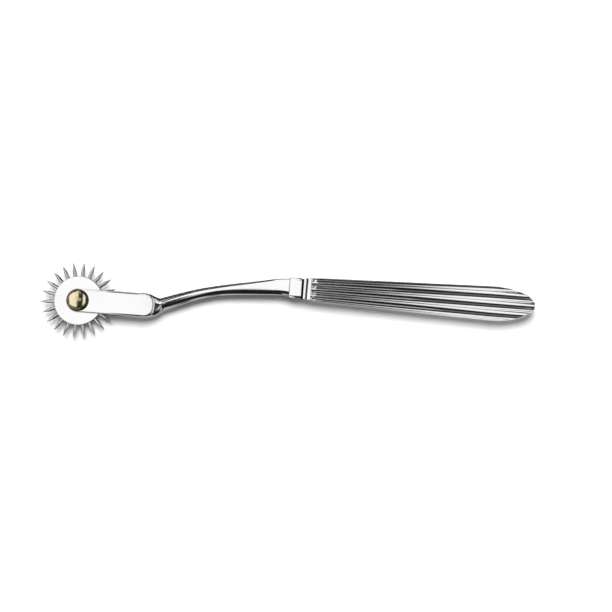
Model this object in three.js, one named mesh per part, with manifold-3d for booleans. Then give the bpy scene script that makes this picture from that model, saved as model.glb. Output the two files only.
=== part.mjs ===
// A pinwheel for testing skin sensation: a wheel of sharp pins that spins in a fork, on a curved shank
// with a hollow reeded handle. Millimetres, +Z up. The origin is on the wheel's axle, on the plane that
// the instrument lies on, and +X runs from the wheel to the end of the handle.

import * as THREE from "three";
import { mergeVertices, toCreasedNormals } from "three/addons/utils/BufferGeometryUtils.js";
import Module from "manifold-3d";

// Wheel and pins
const discDiameter = 19;
const discThickness = 2.3;
const discEdgeRound = 0.25;
const pinCount = 22;
const pinDiameter = 1.3;
const pinProud = 5.2;
const pinSeatDepth = 2.5;
const pinTaperLength = 2.8;
const pinTaperShares = [0, 0.3, 0.6, 0.85];
const firstPinDegrees = 5.4;

// Axle rivet and washers
const axleDiameter = 3.6;
const tenonDiameter = 2.6;
const flareDiameter = 4;
const flareDepth = 0.6;
const headDiameter = 8.2;
const headWall = 0.8;
const headDome = 1.9;
const washerDiameter = 6.8;
const washerThickness = 0.25;

// Fork
const forkWidth = 8.9;
const armThickness = 1.2;
const forkEdgeBevel = 0.3;
const slotRootClearance = 1.6;
const slotRootWall = 7.2;

// Turned tail, shank and tang
const tailBlankWidth = 12;
const tailBlankHeight = 9;
const tailBlankSquareness = 2.2;
const tailLength = 7.6;
const neckWidth = 5;
const neckThickness = 4.5;
const waistDiameter = 4.15;
const neckToWaist = 18.9;
const shankEndWidth = 7.3;
const shankEndThickness = 4.5;
const shankEndSquareness = 8;
const roundSquareness = 2;
const bendDegrees = 20.5;
const neckBendRadius = 12;
const shankBendRadius = 97;
const shankStraightEnd = 3;
const handleOffset = 10.65;
const tangWidth = 4.4;
const tangThickness = 2;
const tangLength = 40;
const tangSquareness = 6;

// Ferrule
const ferruleWidth = 7.9;
const ferruleThickness = 4.9;
const ferruleLength = 4.5;
const ferruleEdgeRound = 0.4;
const ferruleSquareness = 9;
const spigotWidth = 6.2;
const spigotThickness = 3.6;
const spigotLength = 3.4;
const jointGroove = 0.9;

// Handle
const handleLength = 86.5;
const handleNeckWidth = 7.9;
const handleNeckThickness = 4.9;
const handleFlareWidth = 8.9;
const handleFlareLength = 7;
const handleWidth = 12.5;
const handleEndLength = 16;
const handleEdgeRound = 0.5;
const handleEdgeBand = 3.8;
const reedCount = 5;
const reedSlopeDegrees = 50;
const reedPitchShare = 0.28;
const reedRidgeShare = 0.6;
const reedStart = 2.8;
const reedFadeLength = 2;
const shellSideWall = 1.3;
const shellFaceWall = 0.7;
const handlePlugLength = 12;
const handleEndWall = 5;
const cavitySquareness = 4;

// Clearances
const runningClearance = 0.05;
const fitClearance = 0.06;
const seatGap = 0.04;
const shellSeam = 0.06;
const cutOverrun = 2;
const mergeDistance = 1e-5;

// Facets
const latheSides = 44;
const discSides = 66;
const pinSides = 10;
const domeSteps = 6;
const sectionSides = 24;
const arcSteps = 20;
const bevelSteps = 3;
const reedSteps = 6;
const tailStations = 7;
const waistStations = 5;
const shankStations = 10;
const flareStations = 12;
const handleStations = 6;
const endStations = 6;
const outlineEndPoints = 14;
const creaseDegrees = 35;

// Heights and places that follow from the sizes above
const slotWidth = discThickness + 2 * (washerThickness + 2 * runningClearance);
const forkThickness = slotWidth + 2 * armThickness;
const midHeight = forkThickness / 2;
const pinReach = discDiameter / 2 + pinProud;
const slotDepth = pinReach + slotRootClearance;
const tailStart = slotDepth + slotRootWall;
const neckX = tailStart + tailLength;
const waistX = neckX + neckToWaist;
const bend = THREE.MathUtils.degToRad(bendDegrees);
const neckBendStart = neckX - neckBendRadius * Math.sin(bend);
const neckRise = neckBendRadius * (1 - Math.cos(bend));
const shankBendRise = shankBendRadius * (1 - Math.cos(bend));
const shankBendStart = neckX + (handleOffset - shankBendRise - neckRise) / Math.tan(bend);
const shankBendEnd = shankBendStart + shankBendRadius * Math.sin(bend);
const shankEnd = shankBendEnd + shankStraightEnd;
const tangEnd = shankEnd + tangLength;
const ferruleStart = shankEnd + seatGap;
const ferruleEnd = ferruleStart + ferruleLength;
const spigotEnd = ferruleEnd + spigotLength;
const handleStart = ferruleEnd + jointGroove;
const handleEnd = handleStart + handleLength;
const handleFlareEnd = handleStart + handleFlareLength;
const handleEndStart = handleEnd - handleEndLength;
const cavityStart = handleStart + handlePlugLength;
const cavityEnd = handleEnd - handleEndWall;
const reedSlope = THREE.MathUtils.degToRad(reedSlopeDegrees);
const reedDepth = ((handleWidth * reedPitchShare) / 2) * Math.tan(reedSlope / 2);

const wasm = await Module();
wasm.setup();

// Solids and meshes

// A closed geometry as a solid that can be joined and cut.
function solid(geometry) {
  const bare = new THREE.BufferGeometry();
  bare.setAttribute("position", geometry.getAttribute("position"));
  bare.setIndex(geometry.getIndex());
  const merged = mergeVertices(bare, mergeDistance);
  return new wasm.Manifold(
    new wasm.Mesh({
      numProp: 3,
      vertProperties: merged.getAttribute("position").array,
      triVerts: new Uint32Array(merged.getIndex().array),
    }),
  );
}

// The geometry of a solid, with smooth shading between faces that meet at a small angle.
function geometryOf(body) {
  const { vertProperties, triVerts } = body.getMesh();
  const geometry = new THREE.BufferGeometry();
  geometry.setAttribute("position", new THREE.BufferAttribute(vertProperties, 3));
  geometry.setIndex(new THREE.BufferAttribute(triVerts, 1));
  return toCreasedNormals(geometry, THREE.MathUtils.degToRad(creaseDegrees));
}

function namedMesh(name, geometry, material) {
  const mesh = new THREE.Mesh(geometry, material);
  mesh.name = name;
  return mesh;
}

// A box between two corners, given as [x, y, z].
function boxBetween(low, high) {
  const [width, depth, height] = high.map((value, axis) => value - low[axis]);
  const [x, y, z] = high.map((value, axis) => (value + low[axis]) / 2);
  return solid(new THREE.BoxGeometry(width, depth, height).translate(x, y, z));
}

// A solid of revolution about Z from [radius, height] pairs that run up its outer side.
function turned(profile, sides) {
  const points = profile.map(([radius, height]) => new THREE.Vector2(radius, height));
  return new THREE.LatheGeometry(points, sides).rotateX(Math.PI / 2);
}

// A closed solid through rings of equally many points, in order along +X, with a flat cap at each end.
function loft(rings) {
  const around = rings[0].length;
  const points = rings.flat();
  const index = [];
  for (let ring = 0; ring + 1 < rings.length; ring++) {
    for (let side = 0; side < around; side++) {
      const near = ring * around + side;
      const next = ring * around + ((side + 1) % around);
      index.push(near, next, next + around, near, next + around, near + around);
    }
  }
  const lastRing = (rings.length - 1) * around;
  const startCentre = points.push(middleOf(rings[0])) - 1;
  const endCentre = points.push(middleOf(rings[rings.length - 1])) - 1;
  for (let side = 0; side < around; side++) {
    const next = (side + 1) % around;
    index.push(startCentre, next, side);
    index.push(endCentre, lastRing + side, lastRing + next);
  }
  const geometry = new THREE.BufferGeometry().setFromPoints(points);
  geometry.setIndex(index);
  return solid(geometry);
}

function middleOf(ring) {
  const sum = ring.reduce((total, point) => total.add(point), new THREE.Vector3());
  return sum.divideScalar(ring.length);
}

// Evenly spaced values from start to end, without the start.
function steps(start, end, count) {
  return Array.from({ length: count }, (_, i) => start + ((end - start) * (i + 1)) / count);
}

// Shank

// How far a slow-in, slow-out blend has gone at a share of its run.
function eased(share) {
  return (1 - Math.cos(Math.PI * THREE.MathUtils.clamp(share, 0, 1))) / 2;
}

// Place and heading of the centreline: along the fork's axis, up through the neck bend, straight, and
// back through the long bend onto the handle's axis.
function centreline(x) {
  if (x <= neckBendStart) return { y: 0, heading: 0 };
  if (x <= neckX) {
    const heading = Math.asin((x - neckBendStart) / neckBendRadius);
    return { y: neckBendRadius * (1 - Math.cos(heading)), heading };
  }
  if (x <= shankBendStart) return { y: neckRise + (x - neckX) * Math.tan(bend), heading: bend };
  if (x >= shankBendEnd) return { y: handleOffset, heading: 0 };
  const heading = Math.asin((shankBendEnd - x) / shankBendRadius);
  return { y: handleOffset - shankBendRadius * (1 - Math.cos(heading)), heading };
}

// A superellipse square to the centreline at x: squareness 2 is an ellipse, more is nearer to a rectangle.
function sectionAt(x, width, height, squareness) {
  const { y, heading } = centreline(x);
  return Array.from({ length: sectionSides }, (_, side) => {
    const angle = (2 * Math.PI * side) / sectionSides;
    const across = (width / 2) * rounded(Math.cos(angle), squareness);
    const up = (height / 2) * rounded(Math.sin(angle), squareness);
    return new THREE.Vector3(
      x - across * Math.sin(heading),
      y + across * Math.cos(heading),
      midHeight + up,
    );
  });
}

function rounded(value, squareness) {
  return Math.sign(value) * Math.abs(value) ** (2 / squareness);
}

// The sections of the tail and shank between two named ones, blended slow-in, slow-out.
function blendedSections(from, to, count) {
  return steps(from.x, to.x, count).map((x) => {
    const share = eased((x - from.x) / (to.x - from.x));
    const width = THREE.MathUtils.lerp(from.width, to.width, share);
    const height = THREE.MathUtils.lerp(from.height, to.height, share);
    const squareness = THREE.MathUtils.lerp(from.squareness, to.squareness, share);
    return sectionAt(x, width, height, squareness);
  });
}

// Everything that is turned and drawn from the bar's tail to the end of the tang, with a blank over the
// fork that holds the whole bar.
function drawnRod() {
  const blank = {
    x: tailStart,
    width: tailBlankWidth,
    height: tailBlankHeight,
    squareness: tailBlankSquareness,
  };
  const neck = { x: neckX, width: neckWidth, height: neckThickness, squareness: roundSquareness };
  const waist = { x: waistX, width: waistDiameter, height: waistDiameter, squareness: roundSquareness };
  const end = {
    x: shankEnd,
    width: shankEndWidth,
    height: shankEndThickness,
    squareness: shankEndSquareness,
  };
  const blankStart = -forkWidth / 2 - cutOverrun;
  return loft([
    sectionAt(blankStart, blank.width, blank.height, blank.squareness),
    sectionAt(blank.x, blank.width, blank.height, blank.squareness),
    ...blendedSections(blank, neck, tailStations),
    ...blendedSections(neck, waist, waistStations),
    ...blendedSections(waist, end, shankStations),
    tangSection(shankEnd, 0),
    tangSection(tangEnd, 0),
  ]);
}

function tangSection(x, clearance) {
  const grown = 2 * clearance;
  return sectionAt(x, tangWidth + grown, tangThickness + grown, tangSquareness);
}

// The flat bar that the fork is made from: round about the axle, with bevelled edges.
function forkBar() {
  const outline = new THREE.Shape();
  outline.moveTo(neckX, forkWidth / 2);
  outline.lineTo(0, forkWidth / 2);
  outline.absarc(0, 0, forkWidth / 2, Math.PI / 2, (3 * Math.PI) / 2, false);
  outline.lineTo(neckX, -forkWidth / 2);
  const bar = new THREE.ExtrudeGeometry(outline, {
    depth: forkThickness - 2 * forkEdgeBevel,
    curveSegments: arcSteps,
    bevelThickness: forkEdgeBevel,
    bevelSize: forkEdgeBevel,
    bevelOffset: -forkEdgeBevel,
    bevelSegments: 1,
  });
  return solid(bar.translate(0, 0, forkEdgeBevel));
}

// The space past the bar, where only the rod is kept.
function pastTheBar() {
  const start = neckX - neckWidth / 4;
  const side = handleOffset + forkWidth;
  return boxBetween([start, -side, -cutOverrun], [tangEnd + cutOverrun, side, forkThickness + cutOverrun]);
}

// The slot that the wheel runs in, open at the front and both sides, with a round root.
function wheelSlot() {
  const outline = new THREE.Shape();
  const root = slotDepth - slotWidth / 2;
  const front = -forkWidth / 2 - cutOverrun;
  outline.moveTo(front, slotWidth / 2);
  outline.lineTo(front, -slotWidth / 2);
  outline.absarc(root, 0, slotWidth / 2, -Math.PI / 2, Math.PI / 2, false);
  const length = forkWidth + 2 * cutOverrun;
  const slot = new THREE.ExtrudeGeometry(outline, {
    depth: length,
    curveSegments: domeSteps,
    bevelEnabled: false,
  });
  return solid(slot.rotateX(Math.PI / 2).translate(0, length / 2, midHeight));
}

// The stepped bore for the rivet: flared in the rear arm, and wide enough for the shoulder in the front arm.
function axleBore() {
  const flare = flareDiameter / 2 + fitClearance;
  const tenon = tenonDiameter / 2 + fitClearance;
  const shoulder = axleDiameter / 2 + fitClearance;
  return solid(
    turned(
      [
        [0, -cutOverrun],
        [flare, -cutOverrun],
        [flare, 0],
        [tenon, flareDepth],
        [tenon, midHeight],
        [shoulder, midHeight],
        [shoulder, forkThickness + cutOverrun],
        [0, forkThickness + cutOverrun],
      ],
      latheSides,
    ),
  );
}

function forkAndShank() {
  const shaped = drawnRod().intersect(forkBar().add(pastTheBar()));
  return geometryOf(shaped.subtract(wheelSlot()).subtract(axleBore()));
}

// Ferrule

// A short collar with a rounded front edge and a spigot for the handle's mouth, bored for the tang.
function ferrule() {
  const shoulderWidth = ferruleWidth - 2 * ferruleEdgeRound;
  const shoulderThickness = ferruleThickness - 2 * ferruleEdgeRound;
  const roundEdge = [0, ...steps(0, Math.PI / 2, bevelSteps)].map((angle) =>
    sectionAt(
      ferruleStart + ferruleEdgeRound * (1 - Math.cos(angle)),
      shoulderWidth + 2 * ferruleEdgeRound * Math.sin(angle),
      shoulderThickness + 2 * ferruleEdgeRound * Math.sin(angle),
      ferruleSquareness,
    ),
  );
  const collar = loft([
    ...roundEdge,
    sectionAt(ferruleEnd, ferruleWidth, ferruleThickness, ferruleSquareness),
  ]);
  const spigot = loft([spigotSection(ferruleEnd - ferruleEdgeRound, 0), spigotSection(spigotEnd, 0)]);
  return geometryOf(collar.add(spigot).subtract(tangSlot()));
}

function spigotSection(x, clearance) {
  const grown = 2 * clearance;
  return sectionAt(x, spigotWidth + grown, spigotThickness + grown, ferruleSquareness);
}

// The room that the handle leaves for the spigot.
function spigotSocket() {
  const start = handleStart - cutOverrun;
  const end = spigotEnd + seatGap;
  return loft([spigotSection(start, fitClearance), spigotSection(end, fitClearance)]);
}

// The room that the ferrule and the handle leave for the tang.
function tangSlot() {
  const start = ferruleStart - cutOverrun;
  const end = tangEnd + seatGap;
  return loft([tangSection(start, fitClearance), tangSection(end, fitClearance)]);
}

// Handle

// Half the width of the handle: a short flare, a long taper, and a half ellipse at the end.
function handleHalfWidth(x) {
  const flare = (x - handleStart) / handleFlareLength;
  const taper = (x - handleFlareEnd) / (handleEndStart - handleFlareEnd);
  const tongue = (x - handleEndStart) / handleEndLength;
  if (flare < 1) return THREE.MathUtils.lerp(handleNeckWidth, handleFlareWidth, flare) / 2;
  if (taper < 1) return THREE.MathUtils.lerp(handleFlareWidth, handleWidth, taper) / 2;
  return (handleWidth / 2) * Math.sqrt(Math.max(0, 1 - tongue ** 2));
}

// The outline of the handle from above, run past its front end so that a cut there is clean.
function handleOutline() {
  const front = handleStart - cutOverrun;
  const side = [front, handleStart, handleFlareEnd, handleEndStart].map((x) => [x, handleHalfWidth(x)]);
  const tongue = steps(0, Math.PI / 2, outlineEndPoints).map((angle) => [
    handleEndStart + handleEndLength * Math.sin(angle),
    (handleWidth / 2) * Math.cos(angle),
  ]);
  const upper = [...side, ...tongue];
  const lower = upper.slice(0, -1).reverse();
  return new THREE.Shape([
    ...upper.map(([x, half]) => new THREE.Vector2(x, handleOffset + half)),
    ...lower.map(([x, half]) => new THREE.Vector2(x, handleOffset - half)),
  ]);
}

// The outline as a plate about the mid plane, with rounded edges. Its faces lie a seat gap outside the
// reeds.
function handleBlank() {
  const plate = new THREE.ExtrudeGeometry(handleOutline(), {
    depth: handleEdgeBand,
    bevelThickness: midHeight + seatGap - handleEdgeBand / 2,
    bevelSize: handleEdgeRound,
    bevelOffset: -handleEdgeRound,
    bevelSegments: bevelSteps,
  });
  return solid(plate.translate(0, 0, midHeight - handleEdgeBand / 2));
}

// How far the reeded face lies under its crests, at a distance across from the middle: round ridges and
// round grooves, which meet at the steepest slope.
function reedDrop(across, pitch) {
  const ridgeHalf = (pitch * reedRidgeShare) / 2;
  const grooveHalf = pitch / 2 - ridgeHalf;
  const fromCrest = Math.abs(across - pitch * Math.round(across / pitch));
  if (fromCrest <= ridgeHalf) return arcRise(fromCrest, ridgeHalf);
  const depth = (pitch / 2) * Math.tan(reedSlope / 2);
  return depth - arcRise(pitch / 2 - fromCrest, grooveHalf);
}

// The height that an arc loses from its middle out to a place, where it ends at the steepest slope.
function arcRise(place, halfChord) {
  const radius = halfChord / Math.sin(reedSlope);
  return radius - Math.sqrt(radius ** 2 - place ** 2);
}

// The depth of a groove's start, round like its cutter, at a share of its run.
function runOut(share) {
  return Math.sqrt(1 - (1 - THREE.MathUtils.clamp(share, 0, 1)) ** 2);
}

// The upper line of the handle's section, from +Y to -Y. It runs past both edges, with a middle reed on
// the axis, and is smooth towards the neck.
function reedLine(x) {
  const pitch = 2 * handleHalfWidth(Math.min(x, handleEndStart)) * reedPitchShare;
  const flare = eased((x - handleStart) / handleFlareLength);
  const crest = THREE.MathUtils.lerp(handleNeckThickness, forkThickness, flare) / 2;
  const depthShare = runOut((x - handleStart - reedStart) / reedFadeLength);
  const side = (reedCount / 2) * pitch;
  return [side, ...steps(side, -side, reedCount * reedSteps)].map((across) => [
    across,
    crest - depthShare * reedDrop(across, pitch),
  ]);
}

// The reeded bar that the handle's two faces are cut from. Its reeds run on straight under the tongue.
function reededBar() {
  const front = handleStart - cutOverrun;
  const places = [
    front,
    ...steps(front, handleFlareEnd, flareStations),
    ...steps(handleFlareEnd, handleEndStart, handleStations),
    handleEnd + cutOverrun,
  ];
  return loft(
    places.map((x) => {
      const upper = reedLine(x);
      const lower = upper.map(([across, up]) => [across, -up]).reverse();
      return [...upper, ...lower].map(
        ([across, up]) => new THREE.Vector3(x, handleOffset + across, midHeight + up),
      );
    }),
  );
}

// The hollow of the handle past its solid plug.
function handleCavity() {
  const height = 2 * (midHeight - reedDepth - shellFaceWall);
  const places = [
    cavityStart,
    ...steps(cavityStart, handleEndStart, handleStations),
    ...steps(handleEndStart, cavityEnd, endStations),
  ];
  return loft(
    places.map((x) => {
      const width = 2 * (handleHalfWidth(x) - shellSideWall);
      return sectionAt(x, width, height, cavitySquareness);
    }),
  );
}

function wholeHandle() {
  const outside = reededBar().intersect(handleBlank());
  return outside.subtract(handleCavity().add(tangSlot()).add(spigotSocket()));
}

// One half of the handle, on one side of the seam at mid height.
function handleShell(whole, low, high) {
  const side = handleOffset + handleWidth;
  const half = boxBetween([handleStart, -side, low], [handleEnd + cutOverrun, side, high]);
  return geometryOf(whole.intersect(half));
}

// Wheel

// The disc with its bore and a blind hole for each pin.
function wheelDisc() {
  const bore = axleDiameter / 2 + runningClearance;
  const rim = discDiameter / 2;
  const face = discThickness / 2;
  const outer = rim - discEdgeRound;
  const edge = face - discEdgeRound;
  const blank = solid(
    turned(
      [
        [bore, -face],
        [outer, -face],
        [rim, -edge],
        [rim, edge],
        [outer, face],
        [bore, face],
        [bore, -face],
      ],
      discSides,
    ),
  );
  const bottom = rim - pinSeatDepth - seatGap;
  const radius = pinDiameter / 2 + fitClearance;
  const length = pinSeatDepth + seatGap + cutOverrun;
  const hole = new THREE.CylinderGeometry(radius, radius, length, pinSides);
  hole.rotateZ(-Math.PI / 2).translate(bottom + length / 2, 0, 0);
  const drilled = pinAngles().reduce(
    (body, angle) => body.subtract(solid(hole.clone().rotateZ(angle))),
    blank,
  );
  return geometryOf(drilled);
}

function pinAngles() {
  const first = THREE.MathUtils.degToRad(firstPinDegrees);
  return Array.from({ length: pinCount }, (_, pin) => first + (2 * Math.PI * pin) / pinCount);
}

// A pin along +X from its seat in the disc: straight, then a taper that swells a little before the point.
function pinGeometry() {
  const radius = pinDiameter / 2;
  const seat = discDiameter / 2 - pinSeatDepth;
  const taperStart = pinReach - pinTaperLength;
  const taper = pinTaperShares.map((share) => [
    radius * (1 - share ** 2) ** 0.5 * (1 - share / 2),
    taperStart + pinTaperLength * share,
  ]);
  const profile = [[0, seat], [radius, seat], ...taper, [0, pinReach]];
  const points = profile.map(([across, along]) => new THREE.Vector2(across, along));
  return new THREE.LatheGeometry(points, pinSides).rotateZ(-Math.PI / 2);
}

// Axle

// A shouldered rivet: flush flared end, tenon in the rear arm, shoulder for the wheel, domed head.
function axleRivet() {
  const head = headDiameter / 2;
  const seat = forkThickness + seatGap;
  const dome = steps(0, Math.PI / 2, domeSteps - 1).map((angle) => [
    head * Math.cos(angle),
    seat + headWall + headDome * Math.sin(angle),
  ]);
  return turned(
    [
      [0, 0],
      [flareDiameter / 2, 0],
      [tenonDiameter / 2, flareDepth],
      [tenonDiameter / 2, armThickness + seatGap],
      [axleDiameter / 2, armThickness + seatGap],
      [axleDiameter / 2, seat],
      [head, seat],
      [head, seat + headWall],
      ...dome.slice(0, -1),
      [0, seat + headWall + headDome],
    ],
    latheSides,
  );
}

// A washer with its lower face at a given height.
function washer(bottom) {
  const inner = axleDiameter / 2 + runningClearance;
  const outer = washerDiameter / 2;
  const top = bottom + washerThickness;
  return turned([[inner, bottom], [outer, bottom], [outer, top], [inner, top], [inner, bottom]], latheSides);
}

// Materials

function chrome() {
  return new THREE.MeshStandardMaterial({ color: 0xdfe1e3, roughness: 0.12, metalness: 1 });
}

function brass() {
  return new THREE.MeshStandardMaterial({ color: 0xd8c283, roughness: 0.2, metalness: 1 });
}

function groundSteel() {
  return new THREE.MeshStandardMaterial({ color: 0xb9bbbe, roughness: 0.28, metalness: 1 });
}

// Assembly

function fixedFrame() {
  const group = new THREE.Group();
  const whole = wholeHandle();
  const seamLow = midHeight - shellSeam / 2;
  const seamHigh = midHeight + shellSeam / 2;
  const rearWasherBottom = armThickness + runningClearance;
  const frontWasherBottom = forkThickness - armThickness - runningClearance - washerThickness;
  group.add(
    namedMesh("fork_and_shank", forkAndShank(), chrome()),
    namedMesh("ferrule", ferrule(), chrome()),
    namedMesh("handle_front_shell", handleShell(whole, seamHigh, forkThickness + cutOverrun), chrome()),
    namedMesh("handle_rear_shell", handleShell(whole, -cutOverrun, seamLow), chrome()),
    namedMesh("axle_rivet", axleRivet(), brass()),
    namedMesh("rear_washer", washer(rearWasherBottom), brass()),
    namedMesh("front_washer", washer(frontWasherBottom), brass()),
  );
  return group;
}

function spinningWheel() {
  const group = new THREE.Group();
  group.position.z = midHeight;
  group.add(namedMesh("wheel_disc", wheelDisc(), chrome()));
  pinAngles().forEach((angle, i) => {
    const pin = namedMesh("pin_" + String(i + 1).padStart(2, "0"), pinGeometry(), groundSteel());
    pin.rotation.z = angle;
    group.add(pin);
  });
  return group;
}

const pinwheel = new THREE.Group();
pinwheel.add(fixedFrame(), spinningWheel());

export default pinwheel;
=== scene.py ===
import math

import bmesh
import bpy
from mathutils import Matrix, Vector


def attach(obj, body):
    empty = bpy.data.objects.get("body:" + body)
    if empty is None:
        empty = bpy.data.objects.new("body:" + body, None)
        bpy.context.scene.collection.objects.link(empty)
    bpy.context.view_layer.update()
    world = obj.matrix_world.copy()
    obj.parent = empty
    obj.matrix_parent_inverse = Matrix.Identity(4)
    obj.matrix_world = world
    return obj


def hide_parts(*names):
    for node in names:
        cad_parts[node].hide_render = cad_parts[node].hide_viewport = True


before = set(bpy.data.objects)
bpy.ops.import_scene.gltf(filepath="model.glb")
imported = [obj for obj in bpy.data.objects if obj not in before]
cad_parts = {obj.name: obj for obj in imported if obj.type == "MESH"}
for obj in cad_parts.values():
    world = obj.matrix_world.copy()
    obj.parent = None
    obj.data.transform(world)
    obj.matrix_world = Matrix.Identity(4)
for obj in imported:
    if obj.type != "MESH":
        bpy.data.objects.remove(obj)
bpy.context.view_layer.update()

# The pieces are made in millimetres, in the frame's axes, and MM turns them into metres.
MM = 0.001

# Wheel, pins and axle
DISC_DIAMETER = 18.3
DISC_THICKNESS = 2.3
DISC_EDGE_ROUND = 0.25
PIN_COUNT = 22
PIN_DIAMETER = 1.3
PIN_REACH = 14.35
PIN_SEAT_DEPTH = 2.5
PIN_TAPER_LENGTH = 2.8
PIN_HOLE_CLEARANCE = 0.08
FIRST_PIN_DEGREES = 5.4
AXLE_DIAMETER = 3.6
TENON_DIAMETER = 2.6
FLARE_DIAMETER = 4
FLARE_DEPTH = 0.6
HEAD_DIAMETER = 8.2
HEAD_WALL = 0.8
HEAD_DOME = 1.9
HEAD_EDGE_ROUND = 0.22
WASHER_DIAMETER = 6.8
WASHER_THICKNESS = 0.25

# Fork, tail, shank and tang
FORK_WIDTH = 8.9
FORK_THICKNESS = 5.4
ARM_THICKNESS = 1.2
FORK_EDGE_ROUND = 0.7
SLOT_WIDTH = 3
SLOT_DEPTH = 16.3
FLAT_SHOULDER_START = 24.3
FLAT_END = 28.9
FLAT_END_ROUND = 1.1
FLAT_SQUARENESS = 2.5
TAIL_START = 23.5
TAIL_WIDTH = 9.4
TAIL_THICKNESS = 4.6
TAIL_SQUARENESS = 6
NECK_X = 31.1
NECK_WIDTH = 5
NECK_THICKNESS = 4.5
WAIST_X = 50
WAIST_DIAMETER = 4.15
SHANK_END_WIDTH = 7.1
SHANK_END_THICKNESS = 4.5
SHANK_END_SQUARENESS = 4
ROUND_SQUARENESS = 2
BEND = math.radians(20.5)
NECK_BEND_RADIUS = 12
SHANK_SLOPE = math.radians(7.6)
FIRST_BEND_RADIUS = 80
SECOND_BEND_RADIUS = 30
SHANK_END = 78.0925
SHANK_STRAIGHT_END = 1.6
HANDLE_OFFSET = 10.65
TANG_WIDTH = 4.4
TANG_THICKNESS = 2
TANG_LENGTH = 40
TANG_SQUARENESS = 6

# Ferrule
FERRULE_WIDTH = 7.9
FERRULE_THICKNESS = 4.9
FERRULE_LENGTH = 4.5
FERRULE_EDGE_ROUND = 0.4
FERRULE_SQUARENESS = 8
SPIGOT_WIDTH = 6.2
SPIGOT_THICKNESS = 3.6
SPIGOT_LENGTH = 3.4
JOINT_GROOVE = 0.9
GROOVE_ROOT_WIDTH = 7.5
GROOVE_ROOT_THICKNESS = 4.5

# Handle
HANDLE_LENGTH = 86.5
HANDLE_NECK_WIDTH = 7.9
HANDLE_NECK_THICKNESS = 4.9
HANDLE_FLARE_WIDTH = 8.9
HANDLE_FLARE_LENGTH = 7
HANDLE_WIDTH = 12.5
HANDLE_END_LENGTH = 16
HANDLE_EDGE_ROUND = 0.5
HANDLE_EDGE_BAND = 3.8
REED_COUNT = 5
REED_SLOPE = math.radians(50)
REED_PITCH_SHARE = 0.28
REED_RIDGE_SHARE = 0.6
REED_START = 2.8
CREST_RISE_LENGTH = 5
REED_FADE_LENGTH = 1.2
SHELL_SIDE_WALL = 1.3
SHELL_FACE_WALL = 0.7
PLUG_LENGTH = 12
END_WALL = 5
CAVITY_SQUARENESS = 4

# Clearances
RUNNING_CLEARANCE = 0.05
FIT_CLEARANCE = 0.06
SEAT_GAP = 0.04
SHELL_SEAM = 0.06
OVERRUN = 2

# Places that follow
MID_HEIGHT = FORK_THICKNESS / 2
NECK_RISE = NECK_BEND_RADIUS * (1 - math.cos(BEND))
NECK_BEND_START = NECK_X - NECK_BEND_RADIUS * math.sin(BEND)
SECOND_BEND_END = SHANK_END - SHANK_STRAIGHT_END
SECOND_BEND_START = SECOND_BEND_END - SECOND_BEND_RADIUS * math.sin(SHANK_SLOPE)
SECOND_BEND_SIDE = HANDLE_OFFSET - SECOND_BEND_RADIUS * (1 - math.cos(SHANK_SLOPE))
BEND_CORNER = (
    SECOND_BEND_SIDE - SECOND_BEND_START * math.tan(SHANK_SLOPE) - NECK_RISE + NECK_X * math.tan(BEND)
) / (math.tan(BEND) - math.tan(SHANK_SLOPE))
BEND_TANGENT = FIRST_BEND_RADIUS * math.tan((BEND - SHANK_SLOPE) / 2)
FIRST_BEND_START = BEND_CORNER - BEND_TANGENT * math.cos(BEND)
FIRST_BEND_END = BEND_CORNER + BEND_TANGENT * math.cos(SHANK_SLOPE)
TANG_END = SHANK_END + TANG_LENGTH
FERRULE_START = SHANK_END + SEAT_GAP
FERRULE_END = FERRULE_START + FERRULE_LENGTH
SPIGOT_END = FERRULE_END + SPIGOT_LENGTH
HANDLE_START = FERRULE_END + JOINT_GROOVE
HANDLE_END = HANDLE_START + HANDLE_LENGTH
FLARE_END = HANDLE_START + HANDLE_FLARE_LENGTH
END_START = HANDLE_END - HANDLE_END_LENGTH
CAVITY_START = HANDLE_START + PLUG_LENGTH
CAVITY_END = HANDLE_END - END_WALL
REED_DEPTH = HANDLE_WIDTH * REED_PITCH_SHARE / 2 * math.tan(REED_SLOPE / 2)

# Fineness of the meshes
TURNED_SIDES = 128
DISC_SIDES = 264
PIN_SIDES = 24
ROUND_STEPS = 6
DOME_STEPS = 20
SECTION_SIDES = 96
TAIL_STATIONS = 40
WAIST_STATIONS = 36
SHANK_STATIONS = 60
OUTLINE_STEPS = 64
REED_STEPS = 18
FLARE_STATIONS = 40
HANDLE_STATIONS = 12
SMOOTH_ANGLE = math.radians(28)
SHADING_WEIGHT = 100
MERGE_DISTANCE = 1e-7


# Meshes

def steps(start, end, count):
    """Evenly spaced values from start to end, without the start."""
    return [start + (end - start) * (i + 1) / count for i in range(count)]


def blend(start, end, share):
    return start + (end - start) * share


def eased(share):
    """How far a slow-in, slow-out blend has gone at a share of its run."""
    return (1 - math.cos(math.pi * min(1, max(0, share)))) / 2


def mesh_object(name, points, faces):
    """An object from points in millimetres."""
    mesh = bpy.data.meshes.new(name)
    mesh.from_pydata([tuple(value * MM for value in point) for point in points], [], faces)
    tidy = bmesh.new()
    tidy.from_mesh(mesh)
    bmesh.ops.remove_doubles(tidy, verts=tidy.verts, dist=MERGE_DISTANCE)
    bmesh.ops.recalc_face_normals(tidy, faces=tidy.faces)
    tidy.to_mesh(mesh)
    tidy.free()
    made = bpy.data.objects.new(name, mesh)
    bpy.context.scene.collection.objects.link(made)
    return made


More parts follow.
